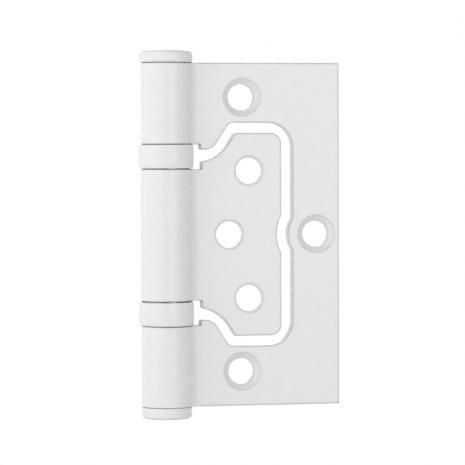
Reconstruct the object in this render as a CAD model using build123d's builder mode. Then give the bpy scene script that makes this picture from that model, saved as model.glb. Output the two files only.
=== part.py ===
from build123d import *
from math import asin, atan2, degrees, radians, sqrt, tan
import os

# Non-mortise hinge, closed: the inner leaf lies inside the outer leaf's cut-out.
# Sizes are in millimetres. The origin is midway between the outer leaf's two end screw holes, on the
# face that lies against the frame. +Z runs up the pin, +X from the barrel to the leaf's free edge,
# and +Y into the frame. A reach is a distance from the pin's axis towards +X.

# Sheet, pin and barrel
sheet = 2.5
leaf_height = 75.0
pin_radius = 2.9
outer_clearance = 0.05
inner_clearance = 0.15
outer_bend = 2.2
inner_bend = 2.6
seam_angle = 15.0
edge_round = 0.3

# Knuckles and the bearings between them
outer_knuckle = 17.8
bearing_height = 5.3

# Screw holes and the walls that they leave
hole_radius = 2.9
countersink_depth = 1.25
countersink_angle = 90.0
hole_lip = 0.6
mouth_round = 0.2
end_hole_reach = 16.6
end_hole_inset = 7.5
end_hole_wall = 2.7
side_hole_inset = 5.15
side_hole_wall = 2.5
inner_pair_inset = 7.25
inner_pair_end = 8.25
inner_hole_reach = 13.8

# Inner leaf, and the gaps between it and the cut-out's ends, side and slopes
inner_reach = 25.45
inner_relief = 1.6
inner_rise = 1.5
inner_foot_radius = 9.0
inner_corner = 2.4
inner_tip_round = 0.5
end_gap = 2.2
side_gap = 2.45
slope_gap = 1.75

# Outer leaf's cut-out
ring_relief = 1.3
tongue_depth = 1.15
tongue_flat = 1.0
tongue_radius = 3.3
slope_angle = 58.0
notch_round = 0.4
shoulder_radius = 1.8
window_corner = 5.4
boss_proud = 1.0
boss_blend = 1.0

# Pin head and bottom cap
head_overhang = 0.32
head_height = 2.6
head_round = 0.7
head_underside_round = 0.5
pin_chamfer = 0.5
cap_height = 2.5
cap_round = 0.8
cap_shrink = 0.02
spigot_length = 5.0
spigot_clearance = 0.01
spigot_space = 1.0

# Bearings
ring_proud = 0.55
ring_crown = 0.15
ring_round = 0.3
shell_wall = 0.7
shell_lip = 0.6
running_gap = 0.15
race_clearance = 0.1
seat_clearance = 0.02
ball_radius = 0.75
ball_count = 8
ball_clearance = 0.02
groove_depth = 0.2
cage_thickness = 0.6
cage_clearance = 0.1
pocket_clearance = 0.05

# Two points this close are taken as one
tolerance = 0.01

# Barrel, knuckles and rings
outer_bore = pin_radius + outer_clearance
inner_bore = pin_radius + inner_clearance
barrel_radius = outer_bore + sheet
ring_radius = barrel_radius + ring_proud
leaf_half = leaf_height / 2
outer_knuckle_end = leaf_half - outer_knuckle
middle_half = outer_knuckle_end - bearing_height

# Cut-out and leaves
countersink_radius = hole_radius + countersink_depth * tan(radians(countersink_angle / 2))
end_hole_height = leaf_half - end_hole_inset
window_half = end_hole_height - hole_radius - end_hole_wall
window_reach = inner_reach + side_gap
inner_half = window_half - end_gap
side_hole_reach = window_reach + side_hole_wall + hole_radius
outer_reach = side_hole_reach + side_hole_inset
boss_radius = hole_radius + side_hole_wall + boss_proud
notch_reach = ring_radius + ring_relief
tongue_reach = notch_reach + tongue_flat
barrel_side = -2 * barrel_radius
cut_depth = 2 * barrel_radius

# Inside a bearing, with heights counted from the middle knuckle's end
shell_bore = ring_radius - shell_wall
shell_seat = bearing_height - shell_lip
race_bore = pin_radius + race_clearance
ball_pitch = (race_bore + shell_bore) / 2
race_space = 2 * (ball_radius + ball_clearance - groove_depth)
race_thickness = (shell_seat - race_space) / 2
ball_height = race_thickness + race_space / 2

pin_x = -end_hole_reach
pin_y = -sheet / 2
pin_axis = Axis((pin_x, pin_y, 0), (0, 0, 1))
barrel_plane = Plane(origin=(pin_x, pin_y, 0))
leaf_plane = Plane(origin=(pin_x, pin_y, 0), x_dir=(1, 0, 0), z_dir=(0, -1, 0))
leaf_front = leaf_plane.offset(sheet / 2)
leaf_back = Plane(origin=(pin_x, pin_y + sheet / 2, 0), x_dir=(-1, 0, 0), z_dir=(0, 1, 0))

os.makedirs("parts", exist_ok=True)


def save(piece, name):
    piece.label = name
    export_step(piece, f"parts/{name}.step")


def bend_reach(bore, bend):
    """Where the flat leaf ends and its bend begins, for a knuckle of this bore."""
    roll_middle = bore + sheet / 2
    bend_middle = bend + sheet / 2
    return sqrt(roll_middle**2 + 2 * roll_middle * bend_middle)


def rolled_section(bore, bend, reach, height):
    """The sheet seen along the pin: a flat leaf, a bend to the front and a roll round the pin."""
    bend_centre = (bend_reach(bore, bend), -bend - sheet / 2)
    neck_angle = degrees(atan2(-bend_centre[1], bend_centre[0]))
    bend_turn = 90 - neck_angle
    roll_turn = -(360 - neck_angle - seam_angle)
    with BuildSketch(barrel_plane.offset(-height / 2)) as section:
        with BuildLine():
            Line((reach, -sheet / 2), (bend_centre[0], -sheet / 2))
            CenterArc(bend_centre, bend, 90, bend_turn)
            outside = CenterArc((0, 0), bore + sheet, -neck_angle, roll_turn)
            inside = CenterArc((0, 0), bore, -neck_angle, roll_turn)
            Line(outside @ 1, inside @ 1)
            CenterArc(bend_centre, bend + sheet, 90, bend_turn)
            Line((bend_centre[0], sheet / 2), (reach, sheet / 2))
            Line((reach, sheet / 2), (reach, -sheet / 2))
        make_face()
    return section.sketch


def outer_outline():
    """The outer leaf seen from the front, with the cut-out that the inner leaf nests in."""
    tongue_end = outer_knuckle_end - tongue_depth
    slope_run = 1 / tan(radians(slope_angle))
    slope_start = tongue_reach + tongue_radius * tan(radians(slope_angle / 2))
    slope_end = slope_start + (window_half - tongue_end) * slope_run
    with BuildSketch() as window:
        with BuildLine():
            Polyline((barrel_side, 0), (barrel_side, outer_knuckle_end), (notch_reach, outer_knuckle_end))
            FilletPolyline(
                (notch_reach, outer_knuckle_end),
                (notch_reach, tongue_end),
                (slope_start, tongue_end),
                (slope_end, window_half),
                (window_reach, window_half),
                (window_reach, 0),
                radius=[notch_round, tongue_radius, shoulder_radius, window_corner],
            )
            mirror(about=Plane.XZ)
        make_face()
        with Locations((side_hole_reach, 0)):
            Circle(boss_radius, mode=Mode.SUBTRACT)
        fillet(boss_corners(window, window_reach), boss_blend)
    with BuildSketch(leaf_plane.offset(-cut_depth)) as outline:
        with Locations((barrel_side, 0)):
            Rectangle(outer_reach - barrel_side, leaf_height, align=(Align.MIN, Align.CENTER))
        add(window.sketch, mode=Mode.SUBTRACT)
    return outline.sketch


def inner_outline():
    """The inner leaf seen from the front: a round foot beside the ring, then along the cut-out."""
    step_reach = ring_radius + inner_relief
    foot_height = middle_half + inner_rise
    half_slope = tan(radians(slope_angle / 2))
    slope_start = tongue_reach + (tongue_radius + slope_gap) * half_slope
    slope_end = slope_start + (inner_half - foot_height) / tan(radians(slope_angle))
    foot_centre = (slope_start - inner_foot_radius * half_slope, foot_height + inner_foot_radius)
    foot_angle = degrees(asin((step_reach - foot_centre[0]) / inner_foot_radius))
    with BuildSketch(leaf_plane.offset(-cut_depth)) as outline:
        with BuildLine():
            foot = CenterArc(foot_centre, inner_foot_radius, foot_angle - 90, slope_angle - foot_angle)
            Polyline((barrel_side, 0), (barrel_side, middle_half), (step_reach, middle_half), foot @ 0)
            FilletPolyline(
                foot @ 1,
                (slope_end, inner_half),
                (inner_reach, inner_half),
                (inner_reach, 0),
                radius=[inner_tip_round, inner_corner],
            )
            mirror(about=Plane.XZ)
        make_face()
        fillet(foot_corners(outline, step_reach), notch_round)
        with Locations((side_hole_reach, 0)):
            Circle(boss_radius + side_gap, mode=Mode.SUBTRACT)
        fillet(boss_corners(outline, inner_reach), boss_blend)
    return outline.sketch


def boss_corners(sketch, reach):
    """The two corners where the round wall about the side screw hole meets a straight edge."""
    beside = [v for v in sketch.vertices() if abs(v.X - reach) < tolerance]
    return [v for v in beside if abs(v.Y) < boss_radius + side_gap]


def foot_corners(sketch, reach):
    """The two corners where the foot's arc meets the step beside the ring."""
    beside = [v for v in sketch.vertices() if abs(v.X - reach) < tolerance]
    return [v for v in beside if abs(v.Y) > middle_half + tolerance]


def flat_faces(leaf):
    """The leaf's two flat faces, the front one first."""
    return leaf.faces().filter_by(Axis.Y).sort_by(Axis.Y)


def hole_rims(face):
    return [edge for wire in face.inner_wires() for edge in wire.edges()]


def outline_edges(leaf, bend_line):
    """The edges round both flat faces, without the lines where the bend begins."""
    edges = [edge for face in flat_faces(leaf) for edge in face.outer_wire().edges()]
    return [edge for edge in edges if abs(edge.center().X - pin_x - bend_line) > tolerance]


def bearing_shell(section_plane):
    """The ring that shows: a gently crowned wall with a lip that rests on the outer knuckle."""
    rim_radius = ring_radius - ring_crown
    with BuildPart() as shell:
        with BuildSketch(section_plane) as wall:
            with BuildLine():
                ThreePointArc(
                    (rim_radius, running_gap),
                    (ring_radius, (running_gap + bearing_height) / 2),
                    (rim_radius, bearing_height),
                )
                Polyline(
                    (rim_radius, bearing_height),
                    (race_bore, bearing_height),
                    (race_bore, shell_seat),
                    (shell_bore, shell_seat),
                    (shell_bore, running_gap),
                    (rim_radius, running_gap),
                )
            make_face()
            fillet(wall.vertices().group_by(Axis.X)[-1], ring_round)
        revolve(axis=pin_axis)
    return shell.part


def bearing_race(section_plane, lower_end, outer_radius):
    """A flat ring with a shallow groove that the balls run in."""
    with BuildPart() as race:
        with BuildSketch(section_plane):
            with Locations((race_bore, lower_end)):
                Rectangle(outer_radius - race_bore, race_thickness, align=(Align.MIN, Align.MIN))
            with Locations((ball_pitch, ball_height)):
                Circle(ball_radius + ball_clearance, mode=Mode.SUBTRACT)
        revolve(axis=pin_axis)
    return race.part


def ball_cage(stack_plane):
    """A thin washer with a pocket for each ball."""
    with BuildPart() as cage:
        with BuildSketch(stack_plane.offset(ball_height)):
            Circle(shell_bore - cage_clearance)
            Circle(race_bore + cage_clearance / 2, mode=Mode.SUBTRACT)
            with PolarLocations(ball_pitch, ball_count):
                Circle(ball_radius + pocket_clearance, mode=Mode.SUBTRACT)
        extrude(amount=cage_thickness / 2, both=True)
    return cage.part


def bearing_ball(stack_plane, number):
    turned = stack_plane.offset(ball_height).rotated((0, 0, 360 * number / ball_count))
    with BuildPart(turned) as ball:
        with Locations((ball_pitch, 0)):
            Sphere(ball_radius)
    return ball.part


with BuildPart() as outer_leaf:
    extrude(rolled_section(outer_bore, outer_bend, outer_reach, leaf_height), amount=leaf_height)
    extrude(outer_outline(), amount=2 * cut_depth, mode=Mode.INTERSECT)
    with Locations(leaf_front):
        with Locations(
            (end_hole_reach, end_hole_height),
            (end_hole_reach, -end_hole_height),
            (side_hole_reach, 0),
        ):
            CounterSinkHole(hole_radius, countersink_radius, counter_sink_angle=countersink_angle)
    fillet(hole_rims(flat_faces(outer_leaf)[0]), mouth_round)
    fillet(outline_edges(outer_leaf, bend_reach(outer_bore, outer_bend)), edge_round)
save(outer_leaf.part, "outer_leaf")

with BuildPart() as inner_leaf:
    extrude(rolled_section(inner_bore, inner_bend, inner_reach, 2 * inner_half), amount=2 * inner_half)
    extrude(inner_outline(), amount=2 * cut_depth, mode=Mode.INTERSECT)
    with Locations(leaf_back):
        with Locations(
            (inner_pair_inset - inner_reach, inner_half - inner_pair_end),
            (inner_pair_inset - inner_reach, inner_pair_end - inner_half),
            (-inner_hole_reach, 0),
        ):
            CounterSinkHole(hole_radius, countersink_radius, counter_sink_angle=countersink_angle)
    fillet(hole_rims(flat_faces(inner_leaf)[1]), mouth_round)
    fillet(hole_rims(flat_faces(inner_leaf)[0]), hole_lip)
    fillet(outline_edges(inner_leaf, bend_reach(inner_bore, inner_bend)), edge_round)
save(inner_leaf.part, "inner_leaf")

with BuildPart() as hinge_pin:
    with BuildSketch(barrel_plane.offset(leaf_half)):
        Circle(barrel_radius + head_overhang)
    extrude(amount=head_height)
    fillet(hinge_pin.edges().group_by(Axis.Z)[-1], head_round)
    fillet(hinge_pin.edges().group_by(Axis.Z)[0], head_underside_round)
    with BuildSketch(barrel_plane.offset(leaf_half)):
        Circle(pin_radius)
    extrude(amount=spigot_length + spigot_space - leaf_height)
    chamfer(hinge_pin.edges().group_by(Axis.Z)[0], pin_chamfer)
save(hinge_pin.part, "hinge_pin")

with BuildPart() as bottom_cap:
    with BuildSketch(barrel_plane.offset(-leaf_half)):
        Circle(barrel_radius - cap_shrink)
    extrude(amount=-cap_height)
    fillet(bottom_cap.edges().group_by(Axis.Z)[0], cap_round)
    with BuildSketch(barrel_plane.offset(-leaf_half)):
        Circle(outer_bore - spigot_clearance)
    extrude(amount=spigot_length)
    chamfer(bottom_cap.edges().group_by(Axis.Z)[-1], pin_chamfer)
save(bottom_cap.part, "bottom_cap")

for name, side in (("upper", 1), ("lower", -1)):
    base = (pin_x, pin_y, side * middle_half)
    section_plane = Plane(origin=base, x_dir=(1, 0, 0), z_dir=(0, -side, 0))
    stack_plane = Plane(origin=base, x_dir=(1, 0, 0), z_dir=(0, 0, side))
    fixed_race = bearing_race(section_plane, shell_seat - race_thickness, shell_bore - seat_clearance)
    turning_race = bearing_race(section_plane, 0, shell_bore - running_gap)
    save(bearing_shell(section_plane), f"{name}_bearing_shell")
    save(fixed_race, f"{name}_fixed_race")
    save(turning_race, f"{name}_turning_race")
    save(ball_cage(stack_plane), f"{name}_ball_cage")
    for number in range(ball_count):
        save(bearing_ball(stack_plane, number), f"{name}_ball_{number + 1}")
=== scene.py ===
from math import cos, radians, sin

import bpy
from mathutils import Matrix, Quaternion, Vector


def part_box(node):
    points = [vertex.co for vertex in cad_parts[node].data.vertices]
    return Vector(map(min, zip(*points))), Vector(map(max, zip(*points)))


# A closed non-mortise hinge in white powder coat, in a white studio.
# Everything is in metres, in the part's own frame: +Z runs up the pin, +X from the barrel to the leaf's
# free edge, and -Y out of the side that the camera sees.
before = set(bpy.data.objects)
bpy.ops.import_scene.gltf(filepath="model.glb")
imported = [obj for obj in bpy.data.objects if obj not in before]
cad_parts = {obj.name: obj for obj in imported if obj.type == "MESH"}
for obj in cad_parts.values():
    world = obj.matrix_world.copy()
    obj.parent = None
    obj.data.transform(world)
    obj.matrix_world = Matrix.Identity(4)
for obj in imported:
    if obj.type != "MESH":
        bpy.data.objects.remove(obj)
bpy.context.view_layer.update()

MM = 0.001

pin_low, pin_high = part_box("hinge_pin")
pin_x = (pin_low.x + pin_high.x) / 2
pin_y = (pin_low.y + pin_high.y) / 2
leaf_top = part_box("outer_leaf")[1].z

# Camera: from the left and a little above, with a trace of roll. Here and below, a yaw is to the left of
# the part's front and a pitch is above it, both in degrees.
CAMERA_YAW = 12.25
CAMERA_PITCH = 1.85
CAMERA_ROLL = radians(-0.157)
CAMERA_DISTANCE = 650 * MM
CAMERA_AIM = Vector((-1.824 * MM, -1.0 * MM, 0.40 * MM))
CAMERA_NEAREST = 0.01
CAMERA_FARTHEST = 10.0
LENS_MM = 229.8
SENSOR_MM = 36.0

# Softboxes: name, yaw, pitch, width and power in watts
SOFTBOX_DISTANCE = 0.9
SOFTBOXES = [
    ("left_rear_softbox", 130, 8, 0.5, 1.0),
    ("left_side_softbox", 105, 8, 0.5, 1.1),
    ("left_softbox", 80, 8, 0.5, 1.5),
    ("left_front_softbox", 50, 12, 0.6, 2.05),
    ("right_front_softbox", -20, 8, 0.5, 3.15),
    ("rear_softbox", -165, 25, 0.5, 2.0),
]

# Room and floor: the floor keeps the part's shadow and fades to white between two distances from the
# part's origin
ROOM_LIGHT = 0.3
FLOOR_HEIGHT = -120 * MM
FLOOR_HALF_WIDTH = 6.0
FLOOR_GREY = 0.8
FLOOR_FADE_START = 150 * MM
FLOOR_FADE_END = 450 * MM
FLOOR_WHITENESS = 0.75

# Powder coat: linear greys, and the sizes and depths of its unevenness
COAT_DARK = (0.797, 0.797, 0.797)
COAT_LIGHT = (0.809, 0.809, 0.809)
COAT_SMOOTHEST = 0.24
COAT_ROUGHEST = 0.30
COAT_SPECULAR = 0.2
CLOUD_SIZE = 6 * MM
PEEL_SIZE = 1.6 * MM
PEEL_DEPTH = 0.003 * MM
GRAIN_SIZE = 0.35 * MM
GRAIN_DEPTH = 0.001 * MM

# Painted shade in the seams and along the sheet edges: how far the surface looks for another one, which
# openness counts as closed and which as open, and the share of the colour that is left where it is closed.
# The edges are darkened only beyond the barrel, from where the flat sheet starts.
OPENNESS_SAMPLES = 6
SEAM_REACH = 0.6 * MM
SEAM_CLOSED = 0.35
SEAM_OPEN = 0.9
SEAM_SHADE_DARKEST = 0.15
EDGE_REACH = 0.32 * MM
EDGE_CLOSED = 0.85
EDGE_OPEN = 0.97
EDGE_SHADE_DARKEST = 0.5
BARREL_END = pin_x + 6.4 * MM
FLAT_START = pin_x + 7.2 * MM

# Bare metals: the darkest and lightest linear colour, the smoothest roughness, and the distance between
# the lathe's rings
BALL_STEEL = ((0.58, 0.58, 0.59), (0.66, 0.66, 0.67), 0.12, 0.08 * MM)
CAGE_BRASS = ((0.66, 0.47, 0.22), (0.76, 0.58, 0.30), 0.24, 0.12 * MM)
METAL_CLOUD_SIZE = 1.2 * MM
METAL_ROUGHNESS_RANGE = 0.08
RING_DEPTH = 0.001 * MM
SHAFT_DARK = (0.50, 0.50, 0.51)
SHAFT_LIGHT = (0.60, 0.60, 0.61)
SHAFT_SMOOTHEST = 0.25
SHAFT_ROUGHEST = 0.35
SHAFT_CLOUD_SIZE = 0.5 * MM
HEAD_START = leaf_top - 0.01 * MM

# Textures: most values of a noise lie between these two, and the rings of a wave at scale 1 lie about
# this far apart
NOISE_LOW = 0.35
NOISE_HIGH = 0.65
CLOUD_DETAIL = 3.0
WAVE_RING_DISTANCE = 0.3


def new_material(name):
    """A material with one Principled shader, its node tree and that shader."""
    material = bpy.data.materials.new(name)
    material.use_nodes = True
    tree = material.node_tree
    tree.nodes.clear()
    output = tree.nodes.new("ShaderNodeOutputMaterial")
    shader = tree.nodes.new("ShaderNodeBsdfPrincipled")
    tree.links.new(shader.outputs["BSDF"], output.inputs["Surface"])
    return material, tree, shader


def object_place(tree):
    """The point on the object, in metres."""
    return tree.nodes.new("ShaderNodeTexCoord").outputs["Object"]


def coordinate(tree, place, axis):
    """The X, Y or Z of a point."""
    parts = tree.nodes.new("ShaderNodeSeparateXYZ")
    tree.links.new(place, parts.inputs["Vector"])
    return parts.outputs[axis]


def remap(tree, value, start, end, low, high):
    """A value from start to end, carried over to low to high. Beyond them it stays at low or high."""
    ramp = tree.nodes.new("ShaderNodeMapRange")
    ramp.inputs["From Min"].default_value = start
    ramp.inputs["From Max"].default_value = end
    ramp.inputs["To Min"].default_value = low
    ramp.inputs["To Max"].default_value = high
    tree.links.new(value, ramp.inputs["Value"])
    return ramp.outputs["Result"]


def combine(tree, operation, first, second):
    """Two values joined by a Math node's operation."""
    node = tree.nodes.new("ShaderNodeMath")
    node.operation = operation
    tree.links.new(first, node.inputs[0])
    tree.links.new(second, node.inputs[1])
    return node.outputs["Value"]


def mix_shaders(tree, share, first, second, output):
    """The first shader where share is 0 and the second where it is 1, shown as the surface."""
    mix = tree.nodes.new("ShaderNodeMixShader")
    tree.links.new(share, mix.inputs["Fac"])
    tree.links.new(first, mix.inputs[1])
    tree.links.new(second, mix.inputs[2])
    tree.links.new(mix.outputs["Shader"], output.inputs["Surface"])


def noise(tree, place, size, detail=2.0):
    """Noise whose features are about size across."""
    texture = tree.nodes.new("ShaderNodeTexNoise")
    texture.inputs["Scale"].default_value = 1 / size
    texture.inputs["Detail"].default_value = detail
    tree.links.new(place, texture.inputs["Vector"])
    return texture.outputs["Fac"]


def spread(tree, value, low, high):
    """A noise spread over low to high."""
    return remap(tree, value, NOISE_LOW, NOISE_HIGH, low, high)


def bump(tree, height, depth, under=None):
    """A bump of the given depth in metres, over another one if there is one."""
    node = tree.nodes.new("ShaderNodeBump")
    node.inputs["Distance"].default_value = depth
    tree.links.new(height, node.inputs["Height"])
    if under is not None:
        tree.links.new(under, node.inputs["Normal"])
    return node.outputs["Normal"]


def blend_colours(tree, share, low, high):
    """The colour low where share is 0 and high where it is 1."""
    mix = tree.nodes.new("ShaderNodeMix")
    mix.data_type = "RGBA"
    mix.inputs["A"].default_value = (*low, 1)
    mix.inputs["B"].default_value = (*high, 1)
    tree.links.new(share, mix.inputs["Factor"])
    return mix.outputs["Result"]


def openness(tree, reach, inside, closed, opened):
    """1 in the open and 0 close to another surface. With inside, it looks into the piece, and is 0
    along an edge, where the next face is close behind."""
    around = tree.nodes.new("ShaderNodeAmbientOcclusion")
    around.samples = OPENNESS_SAMPLES
    around.inside = inside
    around.inputs["Distance"].default_value = reach
    return remap(tree, around.outputs["AO"], closed, opened, 0.0, 1.0)


def darkened(tree, colour, how_open, darkest):
    """The colour, falling to a share of itself where how_open is 0."""
    shaded = tree.nodes.new("ShaderNodeVectorMath")
    shaded.operation = "SCALE"
    tree.links.new(colour, shaded.inputs[0])
    tree.links.new(remap(tree, how_open, 0.0, 1.0, darkest, 1.0), shaded.inputs["Scale"])
    return shaded.outputs["Vector"]


def painted_seam_shade(tree, colour):
    """The colour, darkened as painted shade in the narrow seams between two pieces."""
    how_open = openness(tree, SEAM_REACH, False, SEAM_CLOSED, SEAM_OPEN)
    return darkened(tree, colour, how_open, SEAM_SHADE_DARKEST)


def painted_edge_shade(tree, colour, place):
    """Painted shade: the colour is darker along the cut edges of the leaves, which lie beyond the barrel."""
    along_edges = openness(tree, EDGE_REACH, True, EDGE_CLOSED, EDGE_OPEN)
    on_barrel = remap(tree, coordinate(tree, place, "X"), BARREL_END, FLAT_START, 1.0, 0.0)
    return darkened(tree, colour, combine(tree, "MAXIMUM", along_edges, on_barrel), EDGE_SHADE_DARKEST)


def add_paint(tree, shader, place):
    """Satin white powder coat: a shallow orange peel under a fine grain, and a faint cloud in its tone."""
    peel = bump(tree, noise(tree, place, PEEL_SIZE), PEEL_DEPTH)
    grain = bump(tree, noise(tree, place, GRAIN_SIZE), GRAIN_DEPTH, peel)
    clouds = noise(tree, place, CLOUD_SIZE, CLOUD_DETAIL)
    colour = blend_colours(tree, clouds, COAT_DARK, COAT_LIGHT)
    # The seams and the cut edges of the sheet get painted shade in the coat's colour
    colour = painted_edge_shade(tree, painted_seam_shade(tree, colour), place)
    tree.links.new(colour, shader.inputs["Base Color"])
    tree.links.new(spread(tree, clouds, COAT_SMOOTHEST, COAT_ROUGHEST), shader.inputs["Roughness"])
    shader.inputs["Specular IOR Level"].default_value = COAT_SPECULAR
    tree.links.new(grain, shader.inputs["Normal"])


def powder_coat():
    material, tree, shader = new_material("white_powder_coat")
    add_paint(tree, shader, object_place(tree))
    return material


def turned_metal(name, dark, light, smoothest, ring_distance):
    """Metal with the fine rings that a lathe leaves about the pin, and a faint cloud in its tone."""
    material, tree, shader = new_material(name)
    shader.inputs["Metallic"].default_value = 1.0
    place = object_place(tree)
    clouds = noise(tree, place, METAL_CLOUD_SIZE, CLOUD_DETAIL)
    from_pin = tree.nodes.new("ShaderNodeVectorMath")
    from_pin.operation = "SUBTRACT"
    from_pin.inputs[1].default_value = (pin_x, pin_y, 0)
    tree.links.new(place, from_pin.inputs[0])
    rings = tree.nodes.new("ShaderNodeTexWave")
    rings.wave_type = "RINGS"
    rings.rings_direction = "Z"
    rings.inputs["Scale"].default_value = WAVE_RING_DISTANCE / ring_distance
    tree.links.new(from_pin.outputs["Vector"], rings.inputs["Vector"])
    # The seams get painted shade in the metal's colour
    colour = painted_seam_shade(tree, blend_colours(tree, clouds, dark, light))
    roughness = spread(tree, clouds, smoothest, smoothest + METAL_ROUGHNESS_RANGE)
    tree.links.new(colour, shader.inputs["Base Color"])
    tree.links.new(roughness, shader.inputs["Roughness"])
    tree.links.new(bump(tree, rings.outputs["Fac"], RING_DEPTH), shader.inputs["Normal"])
    return material


def pin_finish():
    """The pin is painted on its head and bare steel on the shaft inside the barrel."""
    material, tree, paint = new_material("painted_head_bare_shaft")
    place = object_place(tree)
    add_paint(tree, paint, place)
    steel = tree.nodes.new("ShaderNodeBsdfPrincipled")
    steel.inputs["Metallic"].default_value = 1.0
    clouds = noise(tree, place, SHAFT_CLOUD_SIZE)
    # The seams get painted shade in the shaft's colour
    bare = painted_seam_shade(tree, blend_colours(tree, clouds, SHAFT_DARK, SHAFT_LIGHT))
    tree.links.new(bare, steel.inputs["Base Color"])
    tree.links.new(spread(tree, clouds, SHAFT_SMOOTHEST, SHAFT_ROUGHEST), steel.inputs["Roughness"])
    on_head = tree.nodes.new("ShaderNodeMath")
    on_head.operation = "GREATER_THAN"
    on_head.inputs[1].default_value = HEAD_START
    tree.links.new(coordinate(tree, place, "Z"), on_head.inputs[0])
    output = tree.nodes["Material Output"]
    mix_shaders(tree, on_head.outputs["Value"], steel.outputs["BSDF"], paint.outputs["BSDF"], output)
    return material


def dress(node, material):
    """Give a CAD node its finish in place of the plain one."""
    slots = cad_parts[node].data.materials
    slots.clear()
    slots.append(material)


def dress_all():
    paint = powder_coat()
    steel = turned_metal("bearing_steel", *BALL_STEEL)
    brass = turned_metal("cage_brass", *CAGE_BRASS)
    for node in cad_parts:
        if node == "hinge_pin":
            dress(node, pin_finish())
        elif node.endswith("cage"):
            dress(node, brass)
        elif "race" in node or "ball_" in node:
            dress(node, steel)
        else:
            dress(node, paint)


def direction(yaw, pitch):
    """The way from the part to something that stands at this yaw and pitch."""
    across = radians(yaw)
    up = radians(pitch)
    return Vector((-sin(across) * cos(up), -cos(across) * cos(up), sin(up)))


def facing(place, target):
    """The turn of a camera or lamp that looks from place to target, upright."""
    return (target - place).to_track_quat("-Z", "Y")


def add_to_scene(name, data):
    thing = bpy.data.objects.new(name, data)
    bpy.context.scene.collection.objects.link(thing)
    return thing


def softbox(name, yaw, pitch, width, power):
    """A square area light that faces the part."""
    data = bpy.data.lights.new(name, "AREA")
    data.shape = "SQUARE"
    data.size = width
    data.energy = power
    light = add_to_scene(name, data)
    light.location = direction(yaw, pitch) * SOFTBOX_DISTANCE
    light.rotation_euler = facing(light.location, Vector((0, 0, 0))).to_euler()


def photo_camera():
    data = bpy.data.cameras.new("photo_camera")
    data.sensor_width = SENSOR_MM
    data.lens = LENS_MM
    data.clip_start = CAMERA_NEAREST
    data.clip_end = CAMERA_FARTHEST
    camera = add_to_scene("photo_camera", data)
    camera.location = CAMERA_AIM + direction(CAMERA_YAW, CAMERA_PITCH) * CAMERA_DISTANCE
    roll = Quaternion((0, 0, 1), CAMERA_ROLL)
    camera.rotation_euler = (facing(camera.location, CAMERA_AIM) @ roll).to_euler()
    bpy.context.scene.camera = camera


def seen_directly(tree):
    """1 for rays from the camera, from a mirror and through glass, and 0 for the rays that light things."""
    path = tree.nodes.new("ShaderNodeLightPath")
    total = path.outputs["Is Camera Ray"]
    for kind in ("Is Glossy Ray", "Is Transmission Ray"):
        total = combine(tree, "MAXIMUM", total, path.outputs[kind])
    return total


def white_room():
    """A world that looks white, and lights the part at a lower level."""
    world = bpy.data.worlds.new("white_room")
    world.use_nodes = True
    tree = world.node_tree
    tree.nodes.clear()
    output = tree.nodes.new("ShaderNodeOutputWorld")
    background = tree.nodes.new("ShaderNodeBackground")
    background.inputs["Color"].default_value = (1, 1, 1, 1)
    strength = remap(tree, seen_directly(tree), 0.0, 1.0, ROOM_LIGHT, 1.0)
    tree.links.new(strength, background.inputs["Strength"])
    tree.links.new(background.outputs["Background"], output.inputs["Surface"])
    bpy.context.scene.world = world


def floor_finish():
    """Plain pale grey that takes a shadow, under a white glow that grows with the distance from the part."""
    material = bpy.data.materials.new("floor_white")
    material.use_nodes = True
    tree = material.node_tree
    tree.nodes.clear()
    output = tree.nodes.new("ShaderNodeOutputMaterial")
    plain = tree.nodes.new("ShaderNodeBsdfDiffuse")
    plain.inputs["Color"].default_value = (FLOOR_GREY, FLOOR_GREY, FLOOR_GREY, 1)
    glow = tree.nodes.new("ShaderNodeEmission")
    glow.inputs["Color"].default_value = (1, 1, 1, 1)
    glow.inputs["Strength"].default_value = 1.0
    away = tree.nodes.new("ShaderNodeVectorMath")
    away.operation = "LENGTH"
    tree.links.new(object_place(tree), away.inputs[0])
    fade = remap(tree, away.outputs["Value"], FLOOR_FADE_START, FLOOR_FADE_END, FLOOR_WHITENESS, 1.0)
    share = combine(tree, "MULTIPLY", seen_directly(tree), fade)
    mix_shaders(tree, share, plain.outputs["BSDF"], glow.outputs["Emission"], output)
    return material


def white_floor():
    """A plain pale floor that looks white and keeps a faint shadow of the part."""
    mesh = bpy.data.meshes.new("floor")
    corners = [(-1, -1), (1, -1), (1, 1), (-1, 1)]
    points = [(x * FLOOR_HALF_WIDTH, y * FLOOR_HALF_WIDTH, FLOOR_HEIGHT) for x, y in corners]
    mesh.from_pydata(points, [], [(0, 1, 2, 3)])
    mesh.materials.append(floor_finish())
    floor = add_to_scene("floor", mesh)


def studio():
    white_room()
    white_floor()
    for box in SOFTBOXES:
        softbox(*box)


dress_all()
studio()
photo_camera()
bpy.context.scene.view_settings.view_transform = "Standard"
